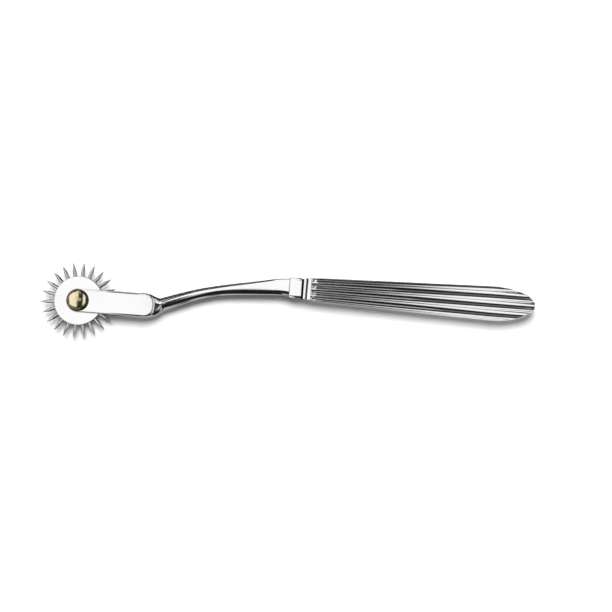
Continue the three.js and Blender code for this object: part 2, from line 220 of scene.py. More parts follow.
def loft(name, rings):
    """A closed solid through rings of equally many points, with a flat cap at each end."""
    around = len(rings[0])
    points = [point for ring in rings for point in ring]
    faces = []
    for ring in range(len(rings) - 1):
        for side in range(around):
            near = ring * around + side
            following = ring * around + (side + 1) % around
            faces.append((near, following, following + around, near + around))
    last = (len(rings) - 1) * around
    faces.append(tuple(range(around)))
    faces.append(tuple(last + side for side in range(around)))
    return mesh_object(name, points, faces)


def turned(name, profile, sides):
    """A solid of revolution about Z, from (radius, height) pairs that end on the axis or close."""
    points = []
    faces = []
    count = len(profile)
    for side in range(sides):
        angle = 2 * math.pi * side / sides
        points += [(radius * math.cos(angle), radius * math.sin(angle), height) for radius, height in profile]
    for side in range(sides):
        here = side * count
        there = (side + 1) % sides * count
        faces += [(here + i, there + i, there + i + 1, here + i + 1) for i in range(count - 1)]
    return mesh_object(name, points, faces)


def box(name, low, high):
    ring = [(low[1], low[2]), (high[1], low[2]), (high[1], high[2]), (low[1], high[2])]
    return loft(name, [[(x, y, z) for y, z in ring] for x in (low[0], high[0])])


def plate(name, outline, bottom, top, edge_width, edge_height):
    """A plate over a closed outline, given as (x, y) points and unit normals, with rounded edges."""
    levels = []
    for angle in [0, *steps(0, math.pi / 2, ROUND_STEPS)]:
        inset = edge_width * (1 - math.sin(angle))
        levels.append((inset, bottom + edge_height * (1 - math.cos(angle))))
    levels += [(inset, bottom + top - height) for inset, height in reversed(levels)]
    rings = []
    for inset, height in levels:
        rings.append([(x - inset * nx, y - inset * ny, height) for (x, y), (nx, ny) in outline])
    return loft(name, rings)


def combine(target, tool, operation):
    """Joins a solid with another, or cuts it, and removes the other."""
    modifier = target.modifiers.new("combine", "BOOLEAN")
    modifier.operation = operation
    modifier.solver = "EXACT"
    modifier.object = tool
    evaluated = target.evaluated_get(bpy.context.evaluated_depsgraph_get())
    made = bpy.data.meshes.new_from_object(evaluated)
    target.modifiers.remove(modifier)
    target.data = made
    bpy.data.objects.remove(tool)
    return target


def copy_of(source, name):
    made = bpy.data.objects.new(name, source.data.copy())
    bpy.context.scene.collection.objects.link(made)
    return made


def finish_piece(piece, body, material, slot, *nodes):
    """Shades a piece, gives it its finish, and seats it on its body in place of its CAD nodes."""
    for polygon in piece.data.polygons:
        polygon.use_smooth = True
    piece.data.set_sharp_from_angle(angle=SMOOTH_ANGLE)
    weighted = piece.modifiers.new("even_shading", "WEIGHTED_NORMAL")
    weighted.keep_sharp = True
    weighted.weight = SHADING_WEIGHT
    piece.data.materials.clear()
    piece.data.materials.append(material)
    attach(piece, body)
    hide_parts(*nodes)
    return piece


# Fork, shank and tang

def centreline(x):
    """Place and heading of the shank's centreline, seen from above."""
    if x <= NECK_BEND_START:
        return 0, 0
    if x <= NECK_X:
        heading = math.asin((x - NECK_BEND_START) / NECK_BEND_RADIUS)
        return NECK_BEND_RADIUS * (1 - math.cos(heading)), heading
    if x <= FIRST_BEND_START:
        return NECK_RISE + (x - NECK_X) * math.tan(BEND), BEND
    if x <= FIRST_BEND_END:
        heading = math.asin(math.sin(BEND) - (x - FIRST_BEND_START) / FIRST_BEND_RADIUS)
        start = NECK_RISE + (FIRST_BEND_START - NECK_X) * math.tan(BEND)
        return start + FIRST_BEND_RADIUS * (math.cos(heading) - math.cos(BEND)), heading
    if x <= SECOND_BEND_START:
        return SECOND_BEND_SIDE - (SECOND_BEND_START - x) * math.tan(SHANK_SLOPE), SHANK_SLOPE
    if x >= SECOND_BEND_END:
        return HANDLE_OFFSET, 0
    heading = math.asin((SECOND_BEND_END - x) / SECOND_BEND_RADIUS)
    return HANDLE_OFFSET - SECOND_BEND_RADIUS * (1 - math.cos(heading)), heading


def rounded(value, squareness):
    return math.copysign(abs(value) ** (2 / squareness), value)


def section(x, width, height, squareness):
    """A superellipse square to the centreline at x."""
    y, heading = centreline(x)
    ring = []
    for side in range(SECTION_SIDES):
        angle = 2 * math.pi * side / SECTION_SIDES
        across = width / 2 * rounded(math.cos(angle), squareness)
        up = height / 2 * rounded(math.sin(angle), squareness)
        ring.append((x - across * math.sin(heading), y + across * math.cos(heading), MID_HEIGHT + up))
    return ring


def blended_sections(start, end, count, easing=eased):
    """Sections between two (x, width, height, squareness) ones, slow in and slow out."""
    rings = []
    for x in steps(start[0], end[0], count):
        share = easing((x - start[0]) / (end[0] - start[0]))
        rings.append(section(x, *[blend(a, b, share) for a, b in zip(start[1:], end[1:])]))
    return rings


def tang_section(x, clearance):
    return section(x, TANG_WIDTH + 2 * clearance, TANG_THICKNESS + 2 * clearance, TANG_SQUARENESS)


def slow_in(share):
    """The tail's growth into the neck: slow at first, then ever faster."""
    return share ** 2


def widening(share):
    """The shank's growth from its waist to the handle: slow at first, then steady."""
    return share ** 1.4


def drawn_rod():
    """Tail, shank and tang. The tail starts inside the bar of the fork."""
    tail = (TAIL_START, TAIL_WIDTH, TAIL_THICKNESS, TAIL_SQUARENESS)
    neck = (NECK_X, NECK_WIDTH, NECK_THICKNESS, ROUND_SQUARENESS)
    waist = (WAIST_X, WAIST_DIAMETER, WAIST_DIAMETER, ROUND_SQUARENESS)
    end = (SHANK_END, SHANK_END_WIDTH, SHANK_END_THICKNESS, SHANK_END_SQUARENESS)
    return loft("fork_and_shank_forging", [
        section(*tail),
        *blended_sections(tail, neck, TAIL_STATIONS, slow_in),
        *blended_sections(neck, waist, WAIST_STATIONS),
        *blended_sections(waist, end, SHANK_STATIONS, widening),
        tang_section(SHANK_END, 0),
        tang_section(TANG_END, 0),
    ])


def fork_bar():
    """The flat bar of the fork, round about the axle and blunt at the neck, with rounded edges."""
    half = FORK_WIDTH / 2
    length = FLAT_END - FLAT_SHOULDER_START
    outline = []
    for angle in [math.pi / 2, *steps(math.pi / 2, 3 * math.pi / 2, OUTLINE_STEPS)]:
        normal = (math.cos(angle), math.sin(angle))
        outline.append(((half * normal[0], half * normal[1]), normal))
    for angle in [-math.pi / 2, *steps(-math.pi / 2, math.pi / 2, OUTLINE_STEPS)]:
        ahead = rounded(math.cos(angle), FLAT_SQUARENESS)
        across = rounded(math.sin(angle), FLAT_SQUARENESS)
        slope = Vector((
            abs(ahead) ** (FLAT_SQUARENESS - 1) / length,
            math.copysign(abs(across) ** (FLAT_SQUARENESS - 1), across) / half,
        )).normalized()
        roll = blend(FORK_EDGE_ROUND, FLAT_END_ROUND, abs(slope.x)) / FORK_EDGE_ROUND
        outline.append(((FLAT_SHOULDER_START + length * ahead, half * across), tuple(roll * slope)))
    return plate("fork_bar", outline, 0, FORK_THICKNESS, FORK_EDGE_ROUND, FORK_EDGE_ROUND)


def wheel_slot():
    """The slot that the wheel runs in, with a round root."""
    root = SLOT_DEPTH - SLOT_WIDTH / 2
    front = -FORK_WIDTH / 2 - OVERRUN
    profile = [(front, SLOT_WIDTH / 2), (front, -SLOT_WIDTH / 2)]
    for angle in [-math.pi / 2, *steps(-math.pi / 2, math.pi / 2, ROUND_STEPS * 2)]:
        profile.append((root + SLOT_WIDTH / 2 * math.cos(angle), SLOT_WIDTH / 2 * math.sin(angle)))
    side = FORK_WIDTH / 2 + OVERRUN
    return loft("slot", [[(x, y, MID_HEIGHT + z) for x, z in profile] for y in (-side, side)])


def axle_bore():
    flare = FLARE_DIAMETER / 2 + FIT_CLEARANCE
    tenon = TENON_DIAMETER / 2 + FIT_CLEARANCE
    shoulder = AXLE_DIAMETER / 2 + FIT_CLEARANCE
    top = FORK_THICKNESS + OVERRUN
    return turned("bore", [
        (0, -OVERRUN), (flare, -OVERRUN), (flare, 0), (tenon, FLARE_DEPTH),
        (tenon, MID_HEIGHT), (shoulder, MID_HEIGHT), (shoulder, top), (0, top),
    ], TURNED_SIDES)


def make_fork_and_shank():
    piece = combine(fork_bar(), drawn_rod(), "UNION")
    combine(piece, wheel_slot(), "DIFFERENCE")
    return combine(piece, axle_bore(), "DIFFERENCE")


# Ferrule

def tang_slot():
    places = (FERRULE_START - OVERRUN, TANG_END + SEAT_GAP)
    return loft("tang_slot", [tang_section(x, FIT_CLEARANCE) for x in places])


def spigot(name, start, end, clearance):
    """The spigot of the ferrule, or the room for it in the handle's mouth."""
    grown = 2 * clearance
    size = (SPIGOT_WIDTH + grown, SPIGOT_THICKNESS + grown, FERRULE_SQUARENESS)
    return loft(name, [section(x, *size) for x in (start, end)])


def make_ferrule():
    """A short collar with a rounded front edge, the root of the joint groove and a spigot."""
    rings = []
    for angle in [0, *steps(0, math.pi / 2, ROUND_STEPS)]:
        grown = 2 * FERRULE_EDGE_ROUND * (1 - math.sin(angle))
        x = FERRULE_START + FERRULE_EDGE_ROUND * (1 - math.cos(angle))
        rings.append(section(x, FERRULE_WIDTH - grown, FERRULE_THICKNESS - grown, FERRULE_SQUARENESS))
    rings.append(section(FERRULE_END, FERRULE_WIDTH, FERRULE_THICKNESS, FERRULE_SQUARENESS))
    collar = loft("ferrule_collar", rings)
    combine(collar, spigot("spigot", FERRULE_END - FERRULE_EDGE_ROUND, SPIGOT_END, 0), "UNION")
    root = (GROOVE_ROOT_WIDTH, GROOVE_ROOT_THICKNESS, FERRULE_SQUARENESS)
    places = (FERRULE_END - FERRULE_EDGE_ROUND, HANDLE_START - SEAT_GAP)
    combine(collar, loft("groove_root", [section(x, *root) for x in places]), "UNION")
    return combine(collar, tang_slot(), "DIFFERENCE")


# Handle

def handle_half_width(x):
    """A short flare, a long taper, and a half ellipse at the end."""
    flare = (x - HANDLE_START) / HANDLE_FLARE_LENGTH
    taper = (x - FLARE_END) / (END_START - FLARE_END)
    tongue = (x - END_START) / HANDLE_END_LENGTH
    if flare < 1:
        return blend(HANDLE_NECK_WIDTH, HANDLE_FLARE_WIDTH, flare) / 2
    if taper < 1:
        return blend(HANDLE_FLARE_WIDTH, HANDLE_WIDTH, taper) / 2
    return HANDLE_WIDTH / 2 * math.sqrt(max(0, 1 - tongue ** 2))


def handle_outline():
    """The handle's outline from above as points with outward normals, run past its front end."""
    upper = [(HANDLE_START - OVERRUN, handle_half_width(HANDLE_START - OVERRUN))]
    upper += [(x, handle_half_width(x)) for x in steps(HANDLE_START, FLARE_END, ROUND_STEPS)]
    upper += [(x, handle_half_width(x)) for x in steps(FLARE_END, END_START, HANDLE_STATIONS)]
    for angle in steps(0, math.pi / 2, OUTLINE_STEPS):
        across = HANDLE_WIDTH / 2 * math.cos(angle)
        upper.append((END_START + HANDLE_END_LENGTH * math.sin(angle), across))
    lower = [(x, -half) for x, half in reversed(upper[:-1])]
    places = upper + lower
    outline = []
    for i, (x, y) in enumerate(places):
        before = places[max(0, i - 1)]
        after = places[min(len(places) - 1, i + 1)]
        along = Vector((after[0] - before[0], after[1] - before[1])).normalized()
        outline.append(((x, HANDLE_OFFSET + y), (-along.y, along.x)))
    return outline


def arc_rise(place, half_chord):
    """The height that an arc loses from its middle out to a place, where it ends at the steepest slope."""
    radius = half_chord / math.sin(REED_SLOPE)
    return radius - math.sqrt(radius ** 2 - place ** 2)


def run_out(share):
    """The depth of a groove's start, round like its cutter, at a share of its run."""
    return math.sqrt(1 - (1 - min(1, max(0, share))) ** 2)


def reed_drop(across, pitch):
    """How far the reeded face lies under its crests: round ridges and round grooves."""
    ridge_half = pitch * REED_RIDGE_SHARE / 2
    from_crest = abs(across - pitch * math.floor(across / pitch + 0.5))
    if from_crest <= ridge_half:
        return arc_rise(from_crest, ridge_half)
    depth = pitch / 2 * math.tan(REED_SLOPE / 2)
    return depth - arc_rise(pitch / 2 - from_crest, pitch / 2 - ridge_half)


def reed_line(x):
    """The upper line of the handle's section, which runs past both edges and is smooth at the mouth."""
    pitch = 2 * handle_half_width(min(x, END_START)) * REED_PITCH_SHARE
    rise = eased((x - HANDLE_START) / CREST_RISE_LENGTH)
    crest = blend(HANDLE_NECK_THICKNESS, FORK_THICKNESS, rise) / 2
    depth_share = run_out((x - HANDLE_START - REED_START) / REED_FADE_LENGTH)
    side = REED_COUNT / 2 * pitch
    places = [side, *steps(side, -side, REED_COUNT * REED_STEPS)]
    return [(across, crest - depth_share * reed_drop(across, pitch)) for across in places]


def reeded_bar():
    front = HANDLE_START - OVERRUN
    places = [front, *steps(front, FLARE_END, FLARE_STATIONS)]
    places += [*steps(FLARE_END, END_START, HANDLE_STATIONS), HANDLE_END + OVERRUN]
    rings = []
    for x in places:
        upper = reed_line(x)
        lower = [(across, -up) for across, up in reversed(upper)]
        rings.append([(x, HANDLE_OFFSET + across, MID_HEIGHT + up) for across, up in upper + lower])
    return loft("reeded_bar", rings)


def handle_cavity():
    height = 2 * (MID_HEIGHT - REED_DEPTH - SHELL_FACE_WALL)
    places = [CAVITY_START]
    places += steps(CAVITY_START, END_START, ROUND_STEPS)
    places += steps(END_START, CAVITY_END, ROUND_STEPS)
    widths = [2 * (handle_half_width(x) - SHELL_SIDE_WALL) for x in places]
    sizes = zip(places, widths)
    return loft("cavity", [section(x, width, height, CAVITY_SQUARENESS) for x, width in sizes])


def whole_handle():
    top = FORK_THICKNESS + SEAT_GAP
    round_height = MID_HEIGHT + SEAT_GAP - HANDLE_EDGE_BAND / 2
    blank = plate("blank", handle_outline(), -SEAT_GAP, top, HANDLE_EDGE_ROUND, round_height)
    outside = combine(reeded_bar(), blank, "INTERSECT")
    for hollow in (
        handle_cavity(),
        tang_slot(),
        spigot("socket", HANDLE_START - OVERRUN, SPIGOT_END + SEAT_GAP, FIT_CLEARANCE),
    ):
        combine(outside, hollow, "DIFFERENCE")
    return outside


def make_handle_shells():
    """The two halves of the handle, on either side of the seam at mid height."""
    whole = whole_handle()
    side = HANDLE_OFFSET + HANDLE_WIDTH
    halves = []
    for name, low, high in (
        ("handle_front_reeded", MID_HEIGHT + SHELL_SEAM / 2, FORK_THICKNESS + OVERRUN),
        ("handle_rear_reeded", -OVERRUN, MID_HEIGHT - SHELL_SEAM / 2),
    ):
        half = box("half", (HANDLE_START, -side, low), (HANDLE_END + OVERRUN, side, high))
        halves.append(combine(copy_of(whole, name), half, "INTERSECT"))
    bpy.data.objects.remove(whole)
    return halves


# Wheel and axle

def pin_angles():
    return [math.radians(FIRST_PIN_DEGREES) + 2 * math.pi * pin / PIN_COUNT for pin in range(PIN_COUNT)]


def radial(name, profile, angle):
    """A solid of revolution about a line that leaves the axle at mid height."""
    piece = turned(name, profile, PIN_SIDES)
    to_radius = Matrix.Rotation(angle, 4, "Z") @ Matrix.Rotation(math.pi / 2, 4, "Y")
    piece.data.transform(Matrix.Translation((0, 0, MID_HEIGHT * MM)) @ to_radius)
    return piece


def make_wheel_disc():
    bore = AXLE_DIAMETER / 2 + RUNNING_CLEARANCE
    rim = DISC_DIAMETER / 2
    low = MID_HEIGHT - DISC_THICKNESS / 2
    high = MID_HEIGHT + DISC_THICKNESS / 2
    edge = []
    for angle in [0, *steps(0, math.pi / 2, ROUND_STEPS)]:
        inset = DISC_EDGE_ROUND * (1 - math.sin(angle))
        edge.append((rim - inset, low + DISC_EDGE_ROUND * (1 - math.cos(angle))))
    upper_edge = [(radius, low + high - height) for radius, height in reversed(edge)]
    profile = [(bore, low), *edge, *upper_edge, (bore, high), (bore, low)]
    disc = turned("wheel_disc_polished", profile, DISC_SIDES)
    bottom = rim - PIN_SEAT_DEPTH - SEAT_GAP
    radius = PIN_DIAMETER / 2 + PIN_HOLE_CLEARANCE
    hole = [(0, bottom), (radius, bottom), (radius, rim + OVERRUN), (0, rim + OVERRUN)]
    for angle in pin_angles():
        combine(disc, radial("hole", hole, angle), "DIFFERENCE")
    return disc


def make_pin(number, angle):
    """A pin from its seat in the disc: straight, then an ogive taper to a sharp point."""
    radius = PIN_DIAMETER / 2
    seat = DISC_DIAMETER / 2 - PIN_SEAT_DEPTH
    taper_start = PIN_REACH - PIN_TAPER_LENGTH
    profile = [(0, seat), (radius, seat), (radius, taper_start)]
    for share in steps(0, 1, DOME_STEPS):
        narrowed = radius * math.sqrt(1 - share ** 2) * (1 - share / 2)
        profile.append((narrowed, taper_start + PIN_TAPER_LENGTH * share))
    return radial(f"pin_{number:02d}_ground", profile, angle)


def make_axle_rivet():
    """The brass pivot: flush flared end, shoulder, and a low domed head on a short wall."""
    head = HEAD_DIAMETER / 2
    seat = FORK_THICKNESS + SEAT_GAP
    wall_top = seat + HEAD_WALL
    profile = [
        (0, 0), (FLARE_DIAMETER / 2, 0), (TENON_DIAMETER / 2, FLARE_DEPTH),
        (TENON_DIAMETER / 2, ARM_THICKNESS + SEAT_GAP), (AXLE_DIAMETER / 2, ARM_THICKNESS + SEAT_GAP),
        (AXLE_DIAMETER / 2, seat), (head, seat), (head, wall_top - HEAD_EDGE_ROUND),
    ]
    for angle in steps(0, math.pi / 2, ROUND_STEPS):
        profile.append((
            head - HEAD_EDGE_ROUND * (1 - math.cos(angle)),
            wall_top - HEAD_EDGE_ROUND * (1 - math.sin(angle)),
        ))
    inner = head - HEAD_EDGE_ROUND
    for angle in steps(0, math.pi / 2, DOME_STEPS):
        profile.append((inner * math.cos(angle), wall_top + HEAD_DOME * math.sin(angle)))
    return turned("axle_rivet_brass", profile, TURNED_SIDES)


def make_washer(name, bottom):
    inner = AXLE_DIAMETER / 2 + RUNNING_CLEARANCE
    outer = WASHER_DIAMETER / 2
    top = bottom + WASHER_THICKNESS
    profile = [(inner, bottom), (outer, bottom), (outer, top), (inner, top), (inner, bottom)]
    return turned(name, profile, TURNED_SIDES)


# Materials. Depths are in metres, and each pair is a least and a most value.

PLATE = (0.985, 0.986, 0.988)
PLATE_CLOUDS = 90
PLATE_CLOUD_STOPS = (0.35, 0.6)
PLATE_DARKENING = 0.97
GRAIN_DETAIL = 3
CLOUD_DETAIL = 4
# A plated finish: tint, roughness, grain along each axis, and the depth of the grain.
CHROME = (PLATE, (0.03, 0.12), (60, 2600, 2600), 0.0000008)
DISC_CHROME = (PLATE, (0.03, 0.1), (500, 500, 500), 0.0000006)
PIN_STEEL = ((0.7, 0.703, 0.707), (0.05, 0.14), (1500, 1500, 1500), 0.000001)
JOINT_BLACK = (0.012, 0.012, 0.013)
JOINT_ROUGHNESS = (0.6, 0.6, 0.6)
BRASS_CLOUDS = 260
BRASS_TINTS = [(0.3, (0.84, 0.70, 0.40)), (0.62, (0.94, 0.86, 0.60))]
BRASS_ROUGHNESS = (0.12, 0.24)
BRASS_RINGS = 5200
RING_DETAIL = 2
RING_DEPTH = 0.000002
# A painted dark reflection round the rim of the head's dome: its colour, and the radii in metres over which it
# comes in.
PAINTED_DARK_RIM = (0.075, 0.062, 0.03)
PAINTED_DARK_RIM_RADII = (0.00325, 0.0037)


def new_material(name):
    material = bpy.data.materials.new(name)
    material.use_nodes = True
    nodes = material.node_tree.nodes
    return material, nodes, material.node_tree.links, nodes["Principled BSDF"]


def noise(nodes, links, vector, scale, detail):
    """A noise texture over object coordinates, as a value."""
    texture = nodes.new("ShaderNodeTexNoise")
    texture.inputs["Scale"].default_value = scale
    texture.inputs["Detail"].default_value = detail
    links.new(vector, texture.inputs["Vector"])
    return texture.outputs["Fac"]


def stretched(nodes, links, vector, scale):
    """Coordinates stretched by a scale for each axis."""
    mapping = nodes.new("ShaderNodeMapping")
    mapping.inputs["Scale"].default_value = scale
    links.new(vector, mapping.inputs["Vector"])
    return mapping.outputs["Vector"]


def ramp(nodes, links, value, stops):
    """A colour ramp from (place, colour) stops."""
    node = nodes.new("ShaderNodeValToRGB")
    while len(node.color_ramp.elements) < len(stops):
        node.color_ramp.elements.new(0.5)
    for element, (place, colour) in zip(node.color_ramp.elements, stops):
        element.position = place
        element.color = (*colour, 1)
    links.new(value, node.inputs["Fac"])
    return node.outputs["Color"]


def share_of(nodes, links, value, low, high):
    """How far a value has gone from low to high, from 0 to 1."""
    node = nodes.new("ShaderNodeMapRange")
    node.inputs["From Min"].default_value = low
    node.inputs["From Max"].default_value = high
    links.new(value, node.inputs["Value"])
    return node.outputs["Result"]


def along(nodes, links, vector, axis):
    """How far a vector goes along an axis."""
    node = nodes.new("ShaderNodeVectorMath")
    node.operation = "DOT_PRODUCT"
    node.inputs[1].default_value = axis
    links.new(vector, node.inputs[0])
    return node.outputs["Value"]


def mixed(nodes, links, share, first, second):
    """A blend of two colours, each given as a colour or as a socket."""
    node = nodes.new("ShaderNodeMix")
    node.data_type = "RGBA"
    links.new(share, node.inputs["Factor"])
    for name, colour in (("A", first), ("B", second)):
        if isinstance(colour, tuple):
            node.inputs[name].default_value = (*colour, 1)
        else:
            links.new(colour, node.inputs[name])
    return node.outputs["Result"]


def product(nodes, links, first, second):
    node = nodes.new("ShaderNodeMath")
    node.operation = "MULTIPLY"
    links.new(first, node.inputs[0])
    links.new(second, node.inputs[1])
    return node.outputs[0]


def mapped(nodes, links, value, low, high):
    """A value from 0 to 1 as one from low to high."""
    node = nodes.new("ShaderNodeMapRange")
    node.inputs["To Min"].default_value = low
    node.inputs["To Max"].default_value = high
    links.new(value, node.inputs["Value"])
    return node.outputs["Result"]


def relief(nodes, links, shader, height, distance):
    bump = nodes.new("ShaderNodeBump")
    bump.inputs["Distance"].default_value = distance
    bump.inputs["Strength"].default_value = 1
    links.new(height, bump.inputs["Height"])
    links.new(bump.outputs["Normal"], shader.inputs["Normal"])


def plated(name, tint, roughness, grain, relief_depth):
    """Polished plate over steel: cloudy handling marks, and a fine grain along the way it was polished."""
    material, nodes, links, shader = new_material(name)
    place = nodes.new("ShaderNodeTexCoord").outputs["Object"]
    clouds = noise(nodes, links, place, PLATE_CLOUDS, CLOUD_DETAIL)
    lines = noise(nodes, links, stretched(nodes, links, place, grain), 1, GRAIN_DETAIL)
    darker = tuple(channel * PLATE_DARKENING for channel in tint)
    tints = list(zip(PLATE_CLOUD_STOPS, (darker, tint)))
    links.new(ramp(nodes, links, clouds, tints), shader.inputs["Base Color"])
    shader.inputs["Metallic"].default_value = 1
    wear = product(nodes, links, clouds, lines)
    links.new(mapped(nodes, links, wear, *roughness), shader.inputs["Roughness"])
    relief(nodes, links, shader, lines, relief_depth)
    return material


def blacken_joint(material):
    """Turns a plated finish black past the end of the ferrule, down in the joint groove."""
    nodes, links = material.node_tree.nodes, material.node_tree.links
    shader = nodes["Principled BSDF"]
    place = nodes.new("ShaderNodeTexCoord").outputs["Object"]
    x = along(nodes, links, place, Vector((1, 0, 0)))
    past = share_of(nodes, links, x, FERRULE_END * MM, (FERRULE_END + SEAT_GAP) * MM)
    for name, dark in (("Base Color", JOINT_BLACK), ("Roughness", JOINT_ROUGHNESS)):
        plain = shader.inputs[name].links[0].from_socket
        links.new(mixed(nodes, links, past, plain, dark), shader.inputs[name])


def turned_brass():
    """Pale polished brass, rings from the lathe about the axle, and a painted dark reflection round the head's
    edge.
    """
    material, nodes, links, shader = new_material("turned_brass")
    place = nodes.new("ShaderNodeTexCoord").outputs["Object"]
    flat = nodes.new("ShaderNodeVectorMath")
    flat.operation = "MULTIPLY"
    flat.inputs[1].default_value = (1, 1, 0)
    links.new(place, flat.inputs[0])
    radius = nodes.new("ShaderNodeVectorMath")
    radius.operation = "LENGTH"
    links.new(flat.outputs["Vector"], radius.inputs[0])
    rings = nodes.new("ShaderNodeTexNoise")
    rings.noise_dimensions = "1D"
    rings.inputs["Scale"].default_value = BRASS_RINGS
    rings.inputs["Detail"].default_value = RING_DETAIL
    links.new(radius.outputs["Value"], rings.inputs["W"])
    clouds = noise(nodes, links, place, BRASS_CLOUDS, CLOUD_DETAIL)
    tint = ramp(nodes, links, clouds, BRASS_TINTS)
    # Painted dark reflection: the brass turns dark from the first radius out to the head's edge.
    edge = share_of(nodes, links, radius.outputs["Value"], *PAINTED_DARK_RIM_RADII)
    links.new(mixed(nodes, links, edge, tint, PAINTED_DARK_RIM), shader.inputs["Base Color"])
    shader.inputs["Metallic"].default_value = 1
    links.new(mapped(nodes, links, clouds, *BRASS_ROUGHNESS), shader.inputs["Roughness"])
    relief(nodes, links, shader, rings.outputs["Fac"], RING_DEPTH)
    return material


# Stage

TILT = math.radians(5)
ROLL = math.radians(4.33)
PICTURE_RIGHT = Vector((math.cos(ROLL), math.sin(ROLL), 0))
PICTURE_TOP = Vector((-math.sin(ROLL), math.cos(ROLL), 0))
LOOK_AT = Vector((84.87, 4.45, 2.7)) * MM
CAMERA_DISTANCE = 0.45
PICTURE_WIDTH = 0.22895
SENSOR_WIDTH = 36


def add_camera():
    """The photograph's view: from above, leaning a little towards the bottom of the picture."""
    towards = math.cos(TILT) * Vector((0, 0, 1)) - math.sin(TILT) * PICTURE_TOP
    data = bpy.data.cameras.new("camera")
    data.sensor_width = SENSOR_WIDTH
    data.lens = SENSOR_WIDTH * CAMERA_DISTANCE / PICTURE_WIDTH
    camera = bpy.data.objects.new("camera", data)
    axes = Matrix((PICTURE_RIGHT, towards.cross(PICTURE_RIGHT), towards)).transposed()
    camera.matrix_world = Matrix.Translation(LOOK_AT + CAMERA_DISTANCE * towards) @ axes.to_4x4()
    bpy.context.scene.collection.objects.link(camera)
    bpy.context.scene.camera = camera


# What polished metal sees around it, from black at 0 to white at 1, by the rise of a direction: its
# angle in degrees from straight up towards the top of the picture. The studio has a left, a middle
# and a right part, told apart by the lean of a direction: how far it goes to the right, from -1 to 1.
RISE_REACH = (-180, 180)
LEAN_REACH = (-1, 1)
CLOSE_LEAN = (-0.25, 0.25)
LEFT_PART = [(-180, 0.12), (-50, 0.12), (-42, 0.95), (0, 0.95), (6, 1), (60, 1), (66, 0.02), (180, 0.02)]
MIDDLE_PART = [(-180, 0.4), (-70, 0.4), (-66, 0.012), (-6, 0.012), (-1, 1), (84, 1), (88, 0.03), (180, 0.03)]
RIGHT_PART = [(-180, 0.45), (-64, 0.45), (-60, 0.012), (-17, 0.012), (-12, 1), (66, 1), (72, 0.03), (180, 0.03)]
PAST_LEFT = [(-1, 0), (-0.15, 0), (-0.13, 1), (0.38, 1), (0.43, 0), (1, 0)]
PAST_MIDDLE = [(-0.25, 0), (0, 0), (0.01, 1), (0.25, 1)]
# A dark screen with two slits hangs over the handle, and dark walls stand to the right and at both ends.
SCREEN_RISE = [
    (-180, 0), (-120, 0), (-112, 0.75), (-22, 0.75), (-17, 1), (24, 1), (27, 0), (33, 0),
    (36, 1), (66, 1), (69, 0), (74, 0), (76, 1), (110, 1), (120, 0), (180, 0),
]
SCREEN_LEAN = [
    (-0.25, 0), (0.006, 0), (0.01, 1), (0.1, 1), (0.125, 0.5), (0.15, 0.1), (0.17, 0), (0.25, 0),
]
SCREEN_LEVEL = (0.012, 0.012, 0.012)
# A dark strip that the slanting part of the shank sees. Its lean shifts with the rise, by STRIP_TURN
# for each radian.
STRIP_TURN = 0.26
STRIP_RISE = [(-180, 0), (-12, 0), (-8, 1), (20, 1), (26, 0), (180, 0)]
STRIP_LEAN = [(-0.25, 0), (-0.097, 0), (-0.093, 1), (-0.052, 1), (-0.032, 0), (0.25, 0)]
END_LEAN = [
    (-1, 1), (-0.92, 1), (-0.85, 0), (0.2, 0), (0.24, 1), (0.5, 1), (0.56, 0), (0.86, 0), (0.92, 1), (1, 1),
]
END_LEVEL = (0.02, 0.02, 0.02)
AMBIENT = (0.17, 0.17, 0.17)
WHITE = (1, 1, 1)


def level_ramp(nodes, links, share, low, high, stops):
    """A ramp of grey levels over a share that goes from low to high."""
    return ramp(nodes, links, share, [((place - low) / (high - low), (level,) * 3) for place, level in stops])


def studio_light(nodes, links):
    """The light and dark parts of the studio, by the direction in which the metal sees them."""
    direction = nodes.new("ShaderNodeTexCoord").outputs["Generated"]
    lean = along(nodes, links, direction, PICTURE_RIGHT)
    angle = nodes.new("ShaderNodeMath")
    angle.operation = "ARCTAN2"
    links.new(along(nodes, links, direction, PICTURE_TOP), angle.inputs[0])
    links.new(along(nodes, links, direction, Vector((0, 0, 1))), angle.inputs[1])
    turned_lean = nodes.new("ShaderNodeMath")
    turned_lean.operation = "MULTIPLY_ADD"
    turned_lean.inputs[1].default_value = STRIP_TURN
    links.new(angle.outputs[0], turned_lean.inputs[0])
    links.new(lean, turned_lean.inputs[2])
    rise = share_of(nodes, links, angle.outputs[0], *[math.radians(end) for end in RISE_REACH])
    left, middle, right, screen_rise, strip_rise = [
        level_ramp(nodes, links, rise, *RISE_REACH, stops)
        for stops in (LEFT_PART, MIDDLE_PART, RIGHT_PART, SCREEN_RISE, STRIP_RISE)
    ]
    past_left, ends = [
        level_ramp(nodes, links, share_of(nodes, links, lean, *LEAN_REACH), *LEAN_REACH, stops)
        for stops in (PAST_LEFT, END_LEAN)
    ]
    past_middle, screen_lean, strip_lean = [
        level_ramp(nodes, links, share_of(nodes, links, value, *CLOSE_LEAN), *CLOSE_LEAN, stops)
        for value, stops in ((lean, PAST_MIDDLE), (lean, SCREEN_LEAN), (turned_lean.outputs[0], STRIP_LEAN))
    ]
    studio = mixed(nodes, links, past_left, left, mixed(nodes, links, past_middle, middle, right))
    for across, up in ((screen_lean, screen_rise), (strip_lean, strip_rise)):
        studio = mixed(nodes, links, product(nodes, links, across, up), studio, SCREEN_LEVEL)
    return mixed(nodes, links, ends, studio, END_LEVEL)


def add_world():
    """White to the camera, plain soft light on the object, and the studio in its gloss."""
    world = bpy.data.worlds.new("studio")
    world.use_nodes = True
    nodes, links = world.node_tree.nodes, world.node_tree.links
    path = nodes.new("ShaderNodeLightPath")
    lit = mixed(nodes, links, path.outputs["Is Glossy Ray"], AMBIENT, studio_light(nodes, links))
    seen = mixed(nodes, links, path.outputs["Is Camera Ray"], lit, WHITE)
    links.new(seen, nodes["Background"].inputs["Color"])
    bpy.context.scene.world = world


